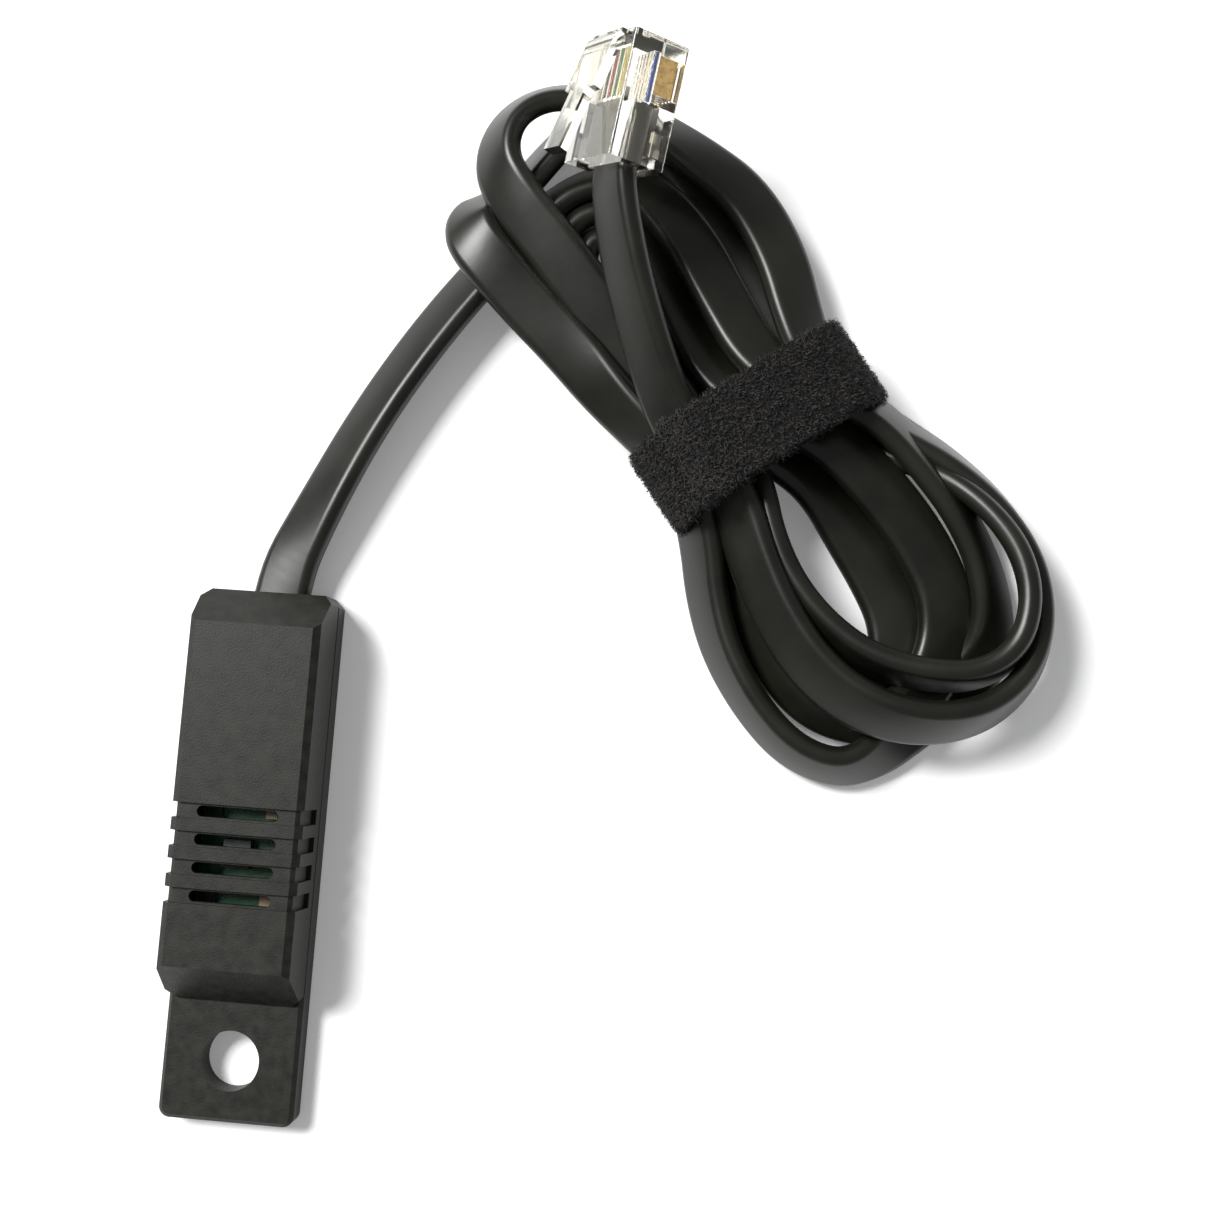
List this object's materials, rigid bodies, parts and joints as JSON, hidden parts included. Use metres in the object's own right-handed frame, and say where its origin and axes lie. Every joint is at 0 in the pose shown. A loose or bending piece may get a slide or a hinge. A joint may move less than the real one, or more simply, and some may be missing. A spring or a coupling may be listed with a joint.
{
  "type": "wired temperature and humidity probe",
  "caption": "Slim vented sensor case with a screw tab, on a flat black cord folded into a strapped hank and ended by a clear modular plug.",
  "frame": {"origin": "middle of the case's back face, on the surface it lies on", "axes": "+Y along the case from the mounting tab to the cord, +Z out of the vented face, +X to the right when the case is seen from its vented face with the cord away from the viewer"},
  "size_m": [0.092, 0.1171, 0.0241],
  "materials": {
    "case_plastic": "fine matte moulded texture",
    "board_green": "satin solder mask",
    "sensor_black": "matte moulded package",
    "chip_black": "matte moulded package",
    "tinned_lead": "dull tin plate",
    "capacitor_tan": "fired ceramic",
    "resistor_black": "glazed ceramic",
    "solder": "bright solder",
    "cord_black": "satin PVC jacket",
    "strap_black": "fuzzy looped nylon",
    "plug_clear": "clear polycarbonate",
    "contact_gold": "gold-plated phosphor bronze",
    "wire_white": "smooth insulation",
    "wire_black": "smooth insulation",
    "wire_red": "smooth insulation",
    "wire_green": "smooth insulation",
    "wire_yellow": "smooth insulation",
    "wire_blue": "smooth insulation"
  },
  "bodies": {
    "probe": {"housing_base": "case_plastic", "housing_cover": "case_plastic", "circuit_board": "board_green", "humidity_sensor": "sensor_black", "chip_body": "chip_black", "chip_leads": "tinned_lead", "capacitors": "capacitor_tan", "resistors": "resistor_black", "solder_joints": "solder", "board_wire_white": "wire_white", "board_wire_black": "wire_black", "board_wire_red": "wire_red", "board_wire_green": "wire_green", "board_wire_yellow": "wire_yellow", "board_wire_blue": "wire_blue", "plug_core_white": "wire_white", "plug_core_black": "wire_black", "plug_core_red": "wire_red", "plug_core_green": "wire_green", "plug_core_yellow": "wire_yellow", "plug_core_blue": "wire_blue", "cord_lead": "cord_black", "cord_hank": "cord_black", "cord_tail": "cord_black", "cord_strap": "strap_black", "plug_body": "plug_clear", "plug_contacts": "contact_gold", "plug_cord_clamp": "plug_clear"},
    "latch": {"plug_latch": "plug_clear"}
  },
  "joints": [
    {"name": "latch_press", "type": "hinge", "parent": "probe", "child": "latch", "pos_m": [0.03425, 0.08622, 0.0206], "axis": [0.5629, -0.2032, 0.8011], "range_deg": [0, 12], "stiffness_Nm_per_rad": 0.02}
  ]
}
